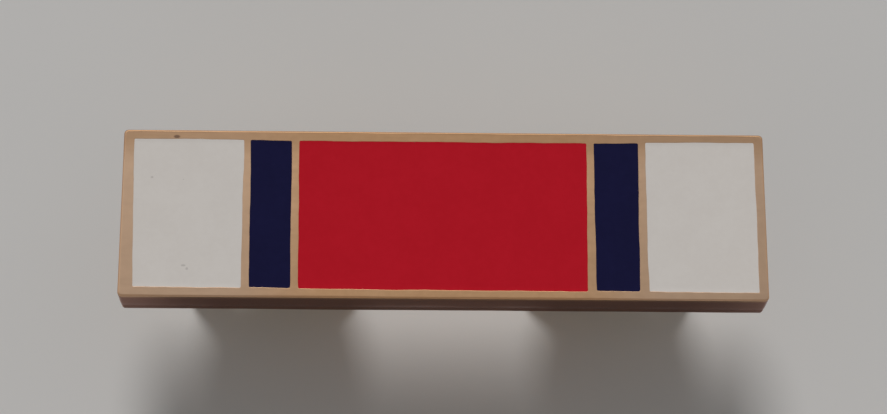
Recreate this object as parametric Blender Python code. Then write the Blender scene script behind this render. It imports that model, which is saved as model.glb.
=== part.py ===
"""Enamelled service ribbon bar with two pin posts and two butterfly clutches.

A struck brass bar carries five enamel cells (white, navy, red, navy, white) flush with
thin metal borders.  Two round posts are soldered into shallow sinkings in its back, and
each is held by a butterfly clutch: a dished disc with a flared hub, and a strip spring
whose two ends cross over, grip the post with their holes and run out as finger wings.

Frame: metres, +Z out of the enamelled face, +X along the bar to the viewer's right,
+Y up the bar.  The origin is the centre of the bar's flat back face.
"""

import math

import bmesh
import bpy
from mathutils import Vector
from mathutils.geometry import delaunay_2d_cdt

MM = 0.001

# ---------------------------------------------------------------- driving dimensions (mm)
BAR_LENGTH = 34.93        # 1 3/8 in
BAR_HEIGHT = 9.53         # 3/8 in
BAR_THICKNESS = 2.40
BAR_CORNER_R = 0.22       # plan corners
BAR_EDGE_BEVEL = 0.11     # soft edge round both faces

BORDER_END = 0.555        # metal left at each end
BORDER_LONG = 0.53        # metal left along the long sides
DIVIDER_OUTER = 0.435     # between white and navy
DIVIDER_INNER = 0.46      # between navy and red
WHITE_WIDTH = 5.965
NAVY_WIDTH = 2.255
CELL_DEPTH = 0.60
CELL_CORNER_R = 0.14
ENAMEL_GAP = 0.02         # enamel to metal, all round and below
ENAMEL_PROUD = -0.01      # enamel surface against the metal face

POST_SPACING = 19.0       # between the two posts
POST_RISE = 0.90          # posts stand this far above the bar's mid line
POST_R = 0.55
POST_LENGTH = 7.0         # back face to point
POINT_LENGTH = 0.95
NOTCH_CENTRE = 1.55       # from the point
NOTCH_HALF = 0.34
NOTCH_R = 0.42
PAD_R = 1.40
PAD_THICKNESS = 0.43
SINK_R = 1.90             # shallow sinking that locates the pad
SINK_DEPTH = 0.30
FIT_GAP = 0.02

CLOTH_GAP = 2.10          # bar back to clutch disc at rest
DISC_R = 4.75
DISC_SHEET = 0.35
DISC_DEPTH = 0.95
HUB_BORE_R = 0.68
HUB_OUTER_R = 1.02
HUB_FLARE_R = 1.50

STRIP = 0.30              # spring strip thickness
STRIP_HALF = 1.90         # half width at the bends
SADDLE_HALF = 2.70        # half length of the flat middle of the strip
SADDLE_DEPTH = 0.535      # cloth face to the saddle's mid plane
SADDLE_HOLE_R = 1.10
BEND_AT = 2.90            # bend centre from the post axis
BEND_R = 0.80             # bend radius at mid thickness
NECK_HALF = 1.00
EAR_HALF = 2.50
JAW_HALF = 1.35
WINDOW_HALF = 1.25        # opening in the slotted wing for the tongue wing's neck

ROUND_POST = 24
ROUND_DISC = 40


# ---------------------------------------------------------------- start from nothing
for old in list(bpy.data.objects):
    bpy.data.objects.remove(old, do_unlink=True)
for old in list(bpy.data.meshes):
    bpy.data.meshes.remove(old)
for old in list(bpy.data.materials):
    bpy.data.materials.remove(old)

scene_objects = bpy.context.scene.collection.objects


# ---------------------------------------------------------------- materials
def material(name, colour, roughness, metallic=0.0, coat=0.0):
    m = bpy.data.materials.new(name)
    m.use_nodes = True
    p = m.node_tree.nodes["Principled BSDF"]
    p.inputs["Base Color"].default_value = (*colour, 1.0)
    p.inputs["Roughness"].default_value = roughness
    p.inputs["Metallic"].default_value = metallic
    p.inputs["Coat Weight"].default_value = coat
    m.diffuse_color = (*colour, 1.0)
    return m


GOLD = material("gold_plate", (0.72, 0.52, 0.30), 0.30, 1.0)
WHITE = material("enamel_white", (0.80, 0.76, 0.72), 0.12, 0.0, 0.6)
NAVY = material("enamel_navy", (0.016, 0.016, 0.062), 0.12, 0.0, 0.6)
RED = material("enamel_red", (0.58, 0.014, 0.028), 0.12, 0.0, 0.6)
SOLDER = material("solder", (0.55, 0.54, 0.51), 0.35, 1.0)
BRASS = material("clutch_brass", (0.78, 0.60, 0.28), 0.28, 1.0)
SPRING = material("spring_bronze", (0.74, 0.55, 0.30), 0.30, 1.0)


# ---------------------------------------------------------------- mesh helpers
def new_object(name, verts_mm, faces, mat, location=(0.0, 0.0, 0.0), smooth=30.0):
    """An object from points in mm and faces, placed at location (mm)."""
    mesh = bpy.data.meshes.new(name)
    mesh.from_pydata([(x * MM, y * MM, z * MM) for x, y, z in verts_mm], [], faces)
    mesh.validate()
    mesh.materials.append(mat)
    bm = bmesh.new()
    bm.from_mesh(mesh)
    bmesh.ops.recalc_face_normals(bm, faces=bm.faces[:])
    bm.to_mesh(mesh)
    bm.free()
    mesh.shade_smooth()
    mesh.set_sharp_from_angle(angle=math.radians(smooth))
    ob = bpy.data.objects.new(name, mesh)
    ob.location = [c * MM for c in location]
    scene_objects.link(ob)
    return ob


def rounded_rectangle(half_x, half_y, radius, steps, centre=(0.0, 0.0)):
    """Counter-clockwise outline points of a rectangle with round corners."""
    points = []
    for sx, sy, start in ((1, 1, 0), (-1, 1, 90), (-1, -1, 180), (1, -1, 270)):
        cx, cy = centre[0] + sx * (half_x - radius), centre[1] + sy * (half_y - radius)
        for i in range(steps + 1):
            a = math.radians(start + 90.0 * i / steps)
            points.append((cx + radius * math.cos(a), cy + radius * math.sin(a)))
    return points


def circle(radius, steps, centre=(0.0, 0.0)):
    return [
        (
            centre[0] + radius * math.cos(2 * math.pi * i / steps),
            centre[1] + radius * math.sin(2 * math.pi * i / steps),
        )
        for i in range(steps)
    ]


def prism(outlines, z0, z1):
    """Points and faces of closed prisms standing on each outline."""
    verts, faces = [], []
    for outline in outlines:
        n, base = len(outline), len(verts)
        verts += [(x, y, z0) for x, y in outline] + [(x, y, z1) for x, y in outline]
        faces.append([base + i for i in reversed(range(n))])
        faces.append([base + n + i for i in range(n)])
        faces += [
            [base + i, base + (i + 1) % n, base + n + (i + 1) % n, base + n + i]
            for i in range(n)
        ]
    return verts, faces


def turned(profile, steps):
    """A closed ring turned about Z from a closed (radius, z) profile.

    A profile point on the axis becomes one shared vertex.
    """
    verts, rows = [], []
    for r, z in profile:
        if r < 1e-6:
            rows.append([len(verts)] * steps)
            verts.append((0.0, 0.0, z))
        else:
            rows.append(list(range(len(verts), len(verts) + steps)))
            verts += [(x, y, z) for x, y in circle(r, steps)]
    faces = []
    n = len(rows)
    for k in range(n):
        a, b = rows[k], rows[(k + 1) % n]
        for i in range(steps):
            j = (i + 1) % steps
            quad = []
            for v in (a[i], a[j], b[j], b[i]):
                if v not in quad:
                    quad.append(v)
            if len(quad) > 2:
                faces.append(quad)
    return verts, faces


def arc(centre, radius, start, stop, steps):
    """Points on an arc, angles in degrees, both ends included."""
    return [
        (
            centre[0] + radius * math.cos(math.radians(start + (stop - start) * i / steps)),
            centre[1] + radius * math.sin(math.radians(start + (stop - start) * i / steps)),
        )
        for i in range(steps + 1)
    ]


def inside(point, polygon):
    x, y = point
    hit = False
    for i in range(len(polygon)):
        (x0, y0), (x1, y1) = polygon[i - 1], polygon[i]
        if (y0 > y) != (y1 > y) and x < (x1 - x0) * (y - y0) / (y1 - y0) + x0:
            hit = not hit
    return hit


# ---------------------------------------------------------------- bar
def cell_layout():
    """(name, centre x, width, material) of each enamel cell, left to right."""
    red = BAR_LENGTH - 2 * (BORDER_END + WHITE_WIDTH + DIVIDER_OUTER + NAVY_WIDTH + DIVIDER_INNER)
    x = -BAR_LENGTH / 2 + BORDER_END
    cells = []
    for name, width, after, mat in (
        ("enamel_white_left", WHITE_WIDTH, DIVIDER_OUTER, WHITE),
        ("enamel_navy_left", NAVY_WIDTH, DIVIDER_INNER, NAVY),
        ("enamel_red_centre", red, DIVIDER_INNER, RED),
        ("enamel_navy_right", NAVY_WIDTH, DIVIDER_OUTER, NAVY),
        ("enamel_white_right", WHITE_WIDTH, BORDER_END, WHITE),
    ):
        cells.append((name, x + width / 2, width, mat))
        x += width + after
    return cells


def make_bar():
    outline = rounded_rectangle(BAR_LENGTH / 2, BAR_HEIGHT / 2, BAR_CORNER_R, 4)
    bar = new_object("bar_body", *prism([outline], 0.0, BAR_THICKNESS), GOLD)
    bevel = bar.modifiers.new("soft_edges", "BEVEL")
    bevel.width = BAR_EDGE_BEVEL * MM
    bevel.segments = 2
    bevel.limit_method = "ANGLE"
    bevel.angle_limit = math.radians(60)

    half_cell = BAR_HEIGHT / 2 - BORDER_LONG
    cells = [
        rounded_rectangle(width / 2, half_cell, CELL_CORNER_R, 3, (x, 0.0))
        for _, x, width, _ in cell_layout()
    ]
    cut = new_object(
        "cutter_cells",
        *prism(cells, BAR_THICKNESS - CELL_DEPTH, BAR_THICKNESS + 0.5),
        GOLD,
    )
    sinks = [circle(SINK_R, 32, (side * POST_SPACING / 2, POST_RISE)) for side in (-1, 1)]
    sink = new_object("cutter_sinkings", *prism(sinks, -0.5, SINK_DEPTH), GOLD)
    for cutter in (cut, sink):
        cutter.hide_render = True
        cutter.display_type = "WIRE"
        step = bar.modifiers.new("cut_" + cutter.name, "BOOLEAN")
        step.operation = "DIFFERENCE"
        step.solver = "EXACT"
        step.object = cutter

    for name, x, width, mat in cell_layout():
        outline = rounded_rectangle(
            width / 2 - ENAMEL_GAP, half_cell - ENAMEL_GAP, CELL_CORNER_R - ENAMEL_GAP, 3
        )
        new_object(
            name,
            *prism(
                [outline],
                BAR_THICKNESS - CELL_DEPTH + ENAMEL_GAP,
                BAR_THICKNESS + ENAMEL_PROUD,
            ),
            mat,
            (x, 0.0, 0.0),
        )


# ---------------------------------------------------------------- posts
def make_post(side, x):
    top = SINK_DEPTH - FIT_GAP
    pad_low = top - PAD_THICKNESS
    tip = -POST_LENGTH
    notch = tip + NOTCH_CENTRE
    profile = [
        (0.0, top),
        (PAD_R, top),
        (PAD_R, pad_low + 0.08),
        (PAD_R - 0.08, pad_low),
        (POST_R + 0.12, pad_low),
        (POST_R, pad_low - 0.12),
        (POST_R, notch + NOTCH_HALF),
        (NOTCH_R, notch + NOTCH_HALF - 0.12),
        (NOTCH_R, notch - NOTCH_HALF + 0.12),
        (POST_R, notch - NOTCH_HALF),
        (POST_R, tip + POINT_LENGTH),
        (0.32, tip + 0.34),
        (0.12, tip + 0.05),
        (0.0, tip),
    ]
    new_object("post_" + side, *turned(profile, ROUND_POST), GOLD, (x, POST_RISE, 0.0))

    inner, outer = PAD_R + FIT_GAP, SINK_R - FIT_GAP
    span = outer - inner
    floor, low = top, pad_low + 0.10
    fillet = [(inner, floor), (inner, low)]
    for i in range(1, 4):
        a = math.radians(90.0 * i / 4)
        fillet.append(
            (outer - span * (1 - math.sin(a)), low + (floor - 0.14 - low) * (1 - math.cos(a)))
        )
    fillet += [(outer, floor - 0.14), (outer, floor)]
    new_object("solder_" + side, *turned(fillet, 32), SOLDER, (x, POST_RISE, 0.0))


# ---------------------------------------------------------------- clutches
def make_disc(side, x):
    """The dished disc.  Its profile is (radius, depth from the cloth face)."""
    r = DISC_R
    profile = [(HUB_BORE_R + 0.47, 0.0), (r - 0.50, 0.0)]
    profile += arc((r - 0.50, 0.50), 0.50, -60, 0, 2)
    profile += [(r, DISC_DEPTH - 0.17)]
    profile += arc((r - DISC_SHEET / 2, DISC_DEPTH - 0.175), 0.175, 45, 180, 3)
    profile += [
        (r - DISC_SHEET, 0.55),
        (r - DISC_SHEET - 0.15, DISC_SHEET),
        (HUB_OUTER_R, DISC_SHEET),
        (HUB_OUTER_R, 0.72),
        (HUB_FLARE_R - 0.04, 0.74),
        (HUB_FLARE_R, 0.86),
        (HUB_FLARE_R - 0.22, 1.00),
        (HUB_OUTER_R - 0.10, 0.98),
        (HUB_BORE_R, 0.72),
        (HUB_BORE_R, 0.34),
        (HUB_BORE_R + 0.14, 0.12),
    ]
    profile = [(rad, -depth) for rad, depth in profile]
    new_object(
        "clutch_disc_" + side,
        *turned(profile, ROUND_DISC),
        BRASS,
        (x, POST_RISE, -CLOTH_GAP),
        smooth=40.0,
    )


def walk(start, heading, moves, fold):
    """Mid line of a bent strip as (length, u, depth, heading) stations.

    Moves are ("line", length) or ("turn", radius, degrees); a turn is stepped at
    about `fold` degrees.
    """
    stations = [(0.0, *start, heading)]
    for move in moves:
        s, u, d, h = stations[-1]
        if move[0] == "line":
            a = math.radians(h)
            stations.append(
                (s + move[1], u + move[1] * math.cos(a), d + move[1] * math.sin(a), h)
            )
            continue
        _, radius, degrees = move
        steps = max(2, round(abs(degrees) / fold))
        side = math.copysign(1.0, degrees)
        a = math.radians(h)
        cu, cd = u - side * radius * math.sin(a), d + side * radius * math.cos(a)
        for i in range(1, steps + 1):
            turned_by = degrees * i / steps
            b = math.radians(h + turned_by)
            stations.append(
                (
                    s + radius * math.radians(abs(turned_by)),
                    cu + side * radius * math.sin(b),
                    cd - side * radius * math.cos(b),
                    h + turned_by,
                )
            )
    return stations


def at_u(stations, u):
    """The length along the strip where its mid line is at this u."""
    for (s0, u0, *_), (s1, u1, *_) in zip(stations[2:], stations[3:]):
        if (u0 - u) * (u1 - u) <= 0 and abs(u1 - u0) > 1e-9 and s0 > 1.0:
            return s0 + (s1 - s0) * (u - u0) / (u1 - u0)
    raise ValueError("the strip never passes this u")


def bent_strip(stations, half_widths, holes, thickness):
    """Closed sheet solid: a flat blank with holes, folded along its stations.

    half_widths is [(length, half width), ...], holes are outlines in (length, across).
    Returns points as (u, across, depth) and faces.
    """
    end = stations[-1][0]

    def half_at(s):
        for (s0, w0), (s1, w1) in zip(half_widths, half_widths[1:]):
            if s0 <= s <= s1:
                return w0 + (w1 - w0) * (s - s0) / max(s1 - s0, 1e-9)
        return half_widths[-1][1]

    lengths = sorted(
        {round(s, 6) for s, *_ in stations} | {round(s, 6) for s, _ in half_widths if s <= end}
    )
    upper = [(s, half_at(s)) for s in lengths]
    outline = upper + [(s, -w) for s, w in reversed(upper)]
    points, edges = [], []
    for loop in (outline, *holes):
        base = len(points)
        points += [Vector(p) for p in loop]
        edges += [(base + i, base + (i + 1) % len(loop)) for i in range(len(loop))]
    n = len(upper)
    edges += [(i, 2 * n - 1 - i) for i in range(1, n - 1)]
    flat, _, triangles, *_ = delaunay_2d_cdt(points, edges, [], 1, 1e-7, False)
    keep = []
    for tri in triangles:
        c = [sum(flat[v][k] for v in tri) / len(tri) for k in (0, 1)]
        if inside(c, outline) and not any(inside(c, hole) for hole in holes):
            keep.append(list(tri))

    def place(p, offset):
        s, t = p
        s = min(max(s, 0.0), end)
        for (s0, u0, d0, h0), (s1, u1, d1, h1) in zip(stations, stations[1:]):
            if s <= s1 + 1e-9:
                break
        f = (s - s0) / max(s1 - s0, 1e-9)
        h = math.radians(h0 + (h1 - h0) * f)
        u, d = u0 + (u1 - u0) * f, d0 + (d1 - d0) * f
        return (u + offset * math.sin(h), t, d - offset * math.cos(h))

    count = len(flat)
    verts = [place(p, thickness / 2) for p in flat] + [place(p, -thickness / 2) for p in flat]
    faces = [tri for tri in keep] + [[v + count for v in reversed(tri)] for tri in keep]
    used = {}
    for tri in keep:
        for a, b in zip(tri, tri[1:] + tri[:1]):
            used.setdefault((min(a, b), max(a, b)), []).append((a, b))
    for uses in used.values():
        if len(uses) == 1:
            a, b = uses[0]
            faces.append([b, a, a + count, b + count])
    seen = sorted({v for f in faces for v in f})
    renumber = {v: i for i, v in enumerate(seen)}
    return [verts[v] for v in seen], [[renumber[v] for v in f] for f in faces]


def ear_taper(start, end):
    """Half widths of a finger wing from its neck to its rounded tip."""
    widths = [(start, NECK_HALF), (start + 0.9, EAR_HALF - 0.25), (start + 1.4, EAR_HALF)]
    corner = 1.15
    for i in range(0, 6):
        a = math.radians(90.0 * i / 5)
        widths.append((end - corner + corner * math.sin(a), EAR_HALF - corner * (1 - math.cos(a))))
    return widths


def slot_hole(stations, u_low, u_high, half):
    """A rounded hole across the strip, between two u values."""
    a, b = at_u(stations, u_low), at_u(stations, u_high)
    low, high = min(a, b), max(a, b)
    radius = half
    pts = []
    for c, start in ((high - radius, -90), (low + radius, 90)):
        for i in range(9):
            t = math.radians(start + 180.0 * i / 8)
            pts.append((c + radius * math.cos(t), radius * math.sin(t)))
    return pts


def tongue_wing(fold=18.0):
    """Inner jaw: bends round at +u, crosses above the other and dives through its window."""
    stations = walk(
        (BEND_AT, SADDLE_DEPTH),
        0.0,
        [
            ("turn", BEND_R, 189.0),
            ("line", 4.50),
            ("turn", 0.45, -71.0),
            ("line", 1.28),
            ("turn", 1.6, 14.0),
            ("line", 2.56),
            ("turn", 1.4, 15.0),
            ("line", 0.25),
        ],
        fold,
    )
    end = stations[-1][0]
    jaw = at_u(stations, 0.0)
    widths = [
        (0.0, STRIP_HALF),
        (at_u(stations, 1.9), STRIP_HALF),
        (at_u(stations, 1.1), JAW_HALF),
        (jaw + 0.70, JAW_HALF),
        (jaw + 1.15, NECK_HALF),
    ]
    ear = jaw + 3.55
    widths += ear_taper(ear, end)
    return stations, widths, [slot_hole(stations, 0.60, -0.85, 0.60)]


def slotted_wing(fold=18.0):
    """Outer jaw, in mirrored u: bends round, has the window, crosses below the other."""
    stations = walk(
        (BEND_AT, SADDLE_DEPTH),
        0.0,
        [
            ("turn", BEND_R, 167.0),
            ("line", 4.95),
            ("turn", 0.9, -20.5),
            ("line", 3.21),
            ("turn", 1.4, 12.0),
            ("line", 0.25),
        ],
        fold,
    )
    end = stations[-1][0]
    jaw = at_u(stations, 0.0)
    widths = [
        (0.0, STRIP_HALF),
        (at_u(stations, 0.95), STRIP_HALF),
        (at_u(stations, 0.45), JAW_HALF + 0.1),
        (jaw + 1.00, JAW_HALF),
        (jaw + 1.55, NECK_HALF),
    ]
    ear = jaw + 2.15
    widths += ear_taper(ear, end)
    near, far = at_u(stations, 2.93), at_u(stations, 0.98)
    window = rounded_rectangle((far - near) / 2, WINDOW_HALF, 0.25, 2, ((far + near) / 2, 0.0))
    return stations, widths, [window, slot_hole(stations, 0.62, -1.02, 0.60)]


def make_wing(name, x, data, mirror):
    """A wing with its origin on the bend's centre, which is its hinge axis."""
    stations, widths, holes = data
    verts, faces = bent_strip(stations, widths, holes, STRIP)
    pivot = (BEND_AT, SADDLE_DEPTH + BEND_R)
    local = [(mirror * (u - pivot[0]), t, -(d - pivot[1])) for u, t, d in verts]
    new_object(
        name,
        local,
        faces,
        SPRING,
        (x + mirror * pivot[0], POST_RISE, -CLOTH_GAP - pivot[1]),
        smooth=35.0,
    )


def make_saddle(side, x):
    outline = rounded_rectangle(SADDLE_HALF, STRIP_HALF, 0.05, 1)
    hole = circle(SADDLE_HOLE_R, 32)
    points = [Vector(p) for p in outline + hole]
    n, m = len(outline), len(hole)
    edges = [(i, (i + 1) % n) for i in range(n)] + [(n + i, n + (i + 1) % m) for i in range(m)]
    flat, _, triangles, *_ = delaunay_2d_cdt(points, edges, [], 1, 1e-7, False)
    keep = [
        list(t)
        for t in triangles
        if not inside([sum(flat[v][k] for v in t) / 3 for k in (0, 1)], hole)
    ]
    count = len(flat)
    top, low = -SADDLE_DEPTH + STRIP / 2, -SADDLE_DEPTH - STRIP / 2
    verts = [(p[0], p[1], top) for p in flat] + [(p[0], p[1], low) for p in flat]
    faces = keep + [[v + count for v in reversed(t)] for t in keep]
    used = {}
    for t in keep:
        for a, b in zip(t, t[1:] + t[:1]):
            used.setdefault((min(a, b), max(a, b)), []).append((a, b))
    for uses in used.values():
        if len(uses) == 1:
            a, b = uses[0]
            faces.append([b, a, a + count, b + count])
    new_object(
        "clutch_saddle_" + side, verts, faces, SPRING, (x, POST_RISE, -CLOTH_GAP), smooth=35.0
    )


# ---------------------------------------------------------------- assembly
make_bar()
for side, sign in (("left", -1), ("right", 1)):
    x = sign * POST_SPACING / 2
    make_post(side, x)
    make_disc(side, x)
    make_saddle(side, x)
    # the two clutches are mirror images, so the whole object is symmetric about X = 0
    make_wing("clutch_wing_tongue_" + side, x, tongue_wing(), -sign)
    make_wing("clutch_wing_slotted_" + side, x, slotted_wing(), sign)
bpy.context.view_layer.update()
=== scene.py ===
"""Looks of the enamelled service ribbon bar, its two pins and its two squeeze clutches.

Every length below is in mm until `place` or `build` turns it into metres.
"""

import math

import bmesh
import bpy
import numpy as np
from mathutils import Matrix, Vector, noise
from mathutils.geometry import delaunay_2d_cdt


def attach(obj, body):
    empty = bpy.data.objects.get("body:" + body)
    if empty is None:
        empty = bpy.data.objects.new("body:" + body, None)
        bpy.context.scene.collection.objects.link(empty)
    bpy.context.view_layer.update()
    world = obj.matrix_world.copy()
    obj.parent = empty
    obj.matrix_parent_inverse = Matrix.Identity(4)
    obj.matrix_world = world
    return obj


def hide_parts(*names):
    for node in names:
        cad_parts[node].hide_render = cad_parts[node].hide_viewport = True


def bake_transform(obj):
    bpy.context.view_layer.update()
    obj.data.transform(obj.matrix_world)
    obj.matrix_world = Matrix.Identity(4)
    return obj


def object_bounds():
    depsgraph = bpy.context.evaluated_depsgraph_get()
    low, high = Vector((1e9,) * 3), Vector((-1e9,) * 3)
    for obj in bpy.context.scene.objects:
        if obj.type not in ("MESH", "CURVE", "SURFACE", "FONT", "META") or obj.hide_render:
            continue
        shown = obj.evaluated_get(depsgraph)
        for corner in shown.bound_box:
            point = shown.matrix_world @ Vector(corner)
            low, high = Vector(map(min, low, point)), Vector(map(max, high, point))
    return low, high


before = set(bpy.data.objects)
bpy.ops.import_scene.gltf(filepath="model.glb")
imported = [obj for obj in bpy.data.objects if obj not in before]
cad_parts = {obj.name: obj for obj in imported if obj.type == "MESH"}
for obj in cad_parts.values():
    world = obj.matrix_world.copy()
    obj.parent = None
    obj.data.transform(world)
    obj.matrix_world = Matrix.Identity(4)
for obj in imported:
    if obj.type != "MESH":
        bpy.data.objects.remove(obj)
CAD_BOX = [list(corner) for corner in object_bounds()]
MM = 0.001

# ------------------------------------------------------------------ sizes, as in the frame
LENGTH, HEIGHT, THICK = 34.93, 9.53, 2.40
CORNER_R = 0.24
CELL_DEPTH, CELL_R = 0.60, 0.085
FLUSH = 2.392             # enamel surface
POST_X, POST_Y = 9.5, 0.90
PAD_TOP, PAD_LOW, PAD_R = 0.28, -0.15, 1.40
SINK_R, SINK_DEPTH = 1.90, 0.30
CLOTH_GAP = 2.10
STRIP, STRIP_HALF = 0.30, 1.90
SADDLE_DEPTH, SADDLE_HOLE_R = 0.535, 1.10
BEND_AT, BEND_R = 2.90, 0.80
NECK_HALF, EAR_HALF, JAW_HALF, WINDOW_HALF = 1.00, 2.50, 1.35, 1.25

# The enamel cells as they were really laid: left x, its lean per mm of height, right x,
# its lean, top y at the left and right ends, bottom y at the left and right ends.
CELLS = {
    "white_left": (-16.785, -0.0251, -10.900, -0.0020, 4.235, 4.215, -4.250, -4.250),
    "navy_left": (-10.505, -0.0109, -8.282, -0.0044, 4.198, 4.188, -4.238, -4.245),
    "red_centre": (-7.871, -0.0101, 7.748, 0.0082, 4.185, 4.175, -4.285, -4.320),
    "navy_right": (8.175, -0.0040, 10.558, 0.0111, 4.198, 4.205, -4.277, -4.287),
    "white_right": (11.005, -0.0009, 16.960, -0.0016, 4.255, 4.290, -4.312, -4.330),
}


# ------------------------------------------------------------------ material nodes
class Shader:
    """A small helper that adds nodes to one material."""

    def __init__(self, name):
        self.material = bpy.data.materials.new(name)
        self.material.use_nodes = True
        self.tree = self.material.node_tree
        self.tree.nodes.clear()
        self.out = self.tree.nodes.new("ShaderNodeOutputMaterial")

    def node(self, kind, inputs=None, **settings):
        n = self.tree.nodes.new("ShaderNode" + kind)
        for key, value in settings.items():
            setattr(n, key, value)
        for key, value in (inputs or {}).items():
            self.feed(n.inputs[key], value)
        return n

    def feed(self, socket, value):
        if isinstance(value, bpy.types.NodeSocket):
            self.tree.links.new(value, socket)
        else:
            socket.default_value = value

    def millimetres(self):
        """Object coordinates in mm."""
        where = self.node("TexCoord").outputs["Object"]
        return self.node("VectorMath", {0: where, "Scale": 1000.0}, operation="SCALE").outputs[0]

    def stretch(self, vector, scale):
        return self.node("VectorMath", {0: vector, 1: scale}, operation="MULTIPLY").outputs[0]

    def grain(self, vector, scale, detail=3.0, rough=0.55, distortion=0.0):
        n = self.node(
            "TexNoise",
            {"Vector": vector, "Scale": scale, "Detail": detail, "Roughness": rough,
             "Distortion": distortion},
        )
        return n.outputs["Fac"]

    def ramp(self, value, low, high, to_low=0.0, to_high=1.0):
        """A smooth map of value from low..high to to_low..to_high."""
        n = self.node(
            "MapRange",
            {0: value, 1: low, 2: high, 3: to_low, 4: to_high},
            interpolation_type="SMOOTHSTEP",
        )
        return n.outputs[0]

    def sums(self, a, b, how="ADD"):
        return self.node("Math", {0: a, 1: b}, operation=how).outputs[0]

    def mix(self, factor, a, b):
        n = self.node("Mix", data_type="RGBA")
        self.feed(n.inputs[0], factor)
        self.feed(n.inputs[6], a if isinstance(a, bpy.types.NodeSocket) else (*a, 1.0))
        self.feed(n.inputs[7], b if isinstance(b, bpy.types.NodeSocket) else (*b, 1.0))
        return n.outputs[2]

    def spot(self, vector, centre, radius, stretch=(1.0, 1.0, 1.0)):
        """1 inside a small soft spot, 0 outside."""
        moved = self.node("VectorMath", {0: vector, 1: centre}, operation="SUBTRACT").outputs[0]
        moved = self.stretch(moved, stretch)
        far = self.node("VectorMath", {0: moved}, operation="LENGTH").outputs[1]
        return self.ramp(far, radius * 0.45, radius, 1.0, 0.0)

    def bump(self, height, strength, distance_mm, normal=None):
        inputs = {"Strength": strength, "Distance": distance_mm * MM, "Height": height}
        if normal is not None:
            inputs["Normal"] = normal
        return self.node("Bump", inputs).outputs[0]

    def principled(self, **inputs):
        n = self.node("BsdfPrincipled")
        for key, value in inputs.items():
            self.feed(n.inputs[key.replace("_", " ")], value)
        self.tree.links.new(n.outputs[0], self.out.inputs["Surface"])
        return self.material


def gilt(name, light, deep, polished, satin, hand, specks=(), pale=None, worn=0.25,
         wall=(0.76, 0.515, 0.285)):
    """Gold plate: cloudy tone, fine polishing marks along `hand`, brighter worn edges."""
    s = Shader(name)
    mm = s.millimetres()
    edge = s.node("Attribute", attribute_name="edge").outputs["Fac"]
    cloud = s.grain(mm, 0.42, 4.0, 0.6)
    mottle = s.grain(mm, 2.3, 3.0, 0.6, 0.4)
    tone = s.sums(s.sums(cloud, 0.62, "MULTIPLY"), s.sums(mottle, 0.38, "MULTIPLY"))
    tone = s.ramp(tone, 0.34, 0.68)
    colour = s.mix(tone, deep, light)
    if pale is not None:
        # the plating is thinner and paler towards the ends
        along = s.node("SeparateXYZ", {0: mm}).outputs[0]
        ends = s.ramp(s.sums(along, 0.0, "ABSOLUTE"), 6.0, 12.5)
        colour = s.mix(s.sums(ends, 0.75, "MULTIPLY"), colour, pale)
        # and painted shade: the gold is darkened towards the upper border
        up = s.node("SeparateXYZ", {0: mm}).outputs[1]
        colour = s.mix(s.ramp(up, 2.6, 4.5, 0.0, 0.62), colour, tuple(c * 0.66 for c in deep))
    lines = s.grain(s.stretch(mm, hand), 1.0, 4.0, 0.65)
    scratch = s.ramp(lines, 0.60, 0.74)
    colour = s.mix(s.sums(scratch, 0.10, "MULTIPLY"), colour, tuple(min(1.0, c * 1.08) for c in light))
    colour = s.mix(s.sums(edge, 0.25, "MULTIPLY"), colour, tuple(min(1.0, c * 1.05) for c in light))
    rough = s.ramp(s.sums(s.sums(lines, 0.5, "MULTIPLY"), s.sums(mottle, 0.5, "MULTIPLY")), 0.3, 0.7, polished, satin)
    rough = s.node("Mix", {0: edge, 2: rough, 3: worn}, data_type="FLOAT").outputs[0]
    if pale is not None:
        # painted shade over the upper corner edge, darkening the highlight it catches
        upper_edge_painted_shade = s.ramp(up, 4.59, 4.69, 0.0, 0.62)
        colour = s.mix(upper_edge_painted_shade, colour, tuple(c * 0.40 for c in deep))
    side = s.node("Attribute", attribute_name="side").outputs["Fac"]
    # the trimmed wall: burnished above, torn and duller along its lower third
    level = s.node("SeparateXYZ", {0: mm}).outputs[2]
    level = s.sums(level, s.sums(mottle, 0.5, "MULTIPLY"))
    torn = s.sums(s.ramp(level, 0.78, 1.22, 1.0, 0.0), side, "MULTIPLY")
    shear = s.grain(s.stretch(mm, (9.0, 9.0, 0.7)), 1.0, 3.0, 0.6)
    colour = s.mix(s.sums(side, 0.9, "MULTIPLY"), colour, s.mix(tone, wall, tuple(c * 1.07 for c in wall)))
    colour = s.mix(s.sums(torn, 0.75, "MULTIPLY"), colour, s.mix(shear, tuple(c * 0.50 for c in wall), tuple(c * 0.78 for c in wall)))
    # painted dark reflection: the wall is darkened where it is seen at a slant
    slant = s.node("LayerWeight", {"Blend": 0.5}).outputs["Facing"]
    slant_painted_shade = s.sums(s.ramp(slant, 0.46, 0.70, 0.0, 0.88), side, "MULTIPLY")
    colour = s.mix(slant_painted_shade, colour, tuple(c * k for c, k in zip(wall, (0.22, 0.15, 0.19))))
    rough = s.node("Mix", {0: side, 2: rough, 3: 0.17}, data_type="FLOAT").outputs[0]
    rough = s.node("Mix", {0: torn, 2: rough, 3: 0.36}, data_type="FLOAT").outputs[0]
    height = s.sums(s.sums(lines, 0.7, "MULTIPLY"), s.sums(s.grain(mm, 5.5, 2.0), 0.3, "MULTIPLY"))
    height = s.sums(height, s.sums(s.sums(shear, torn, "MULTIPLY"), 3.0, "MULTIPLY"))
    for centre, radius, dark, stretch in specks:
        mask = s.spot(mm, centre, radius, stretch)
        colour = s.mix(mask, colour, dark)
        rough = s.node("Mix", {0: mask, 2: rough, 3: 0.55}, data_type="FLOAT").outputs[0]
        height = s.sums(height, s.sums(mask, 1.5, "MULTIPLY"), "SUBTRACT")
    normal = s.bump(height, 0.25, 0.0014)
    return s.principled(
        Base_Color=colour, Metallic=1.0, Roughness=rough, Normal=normal,
        Specular_Tint=(0.80, 0.69, 0.70, 1.0),
    )


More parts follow.
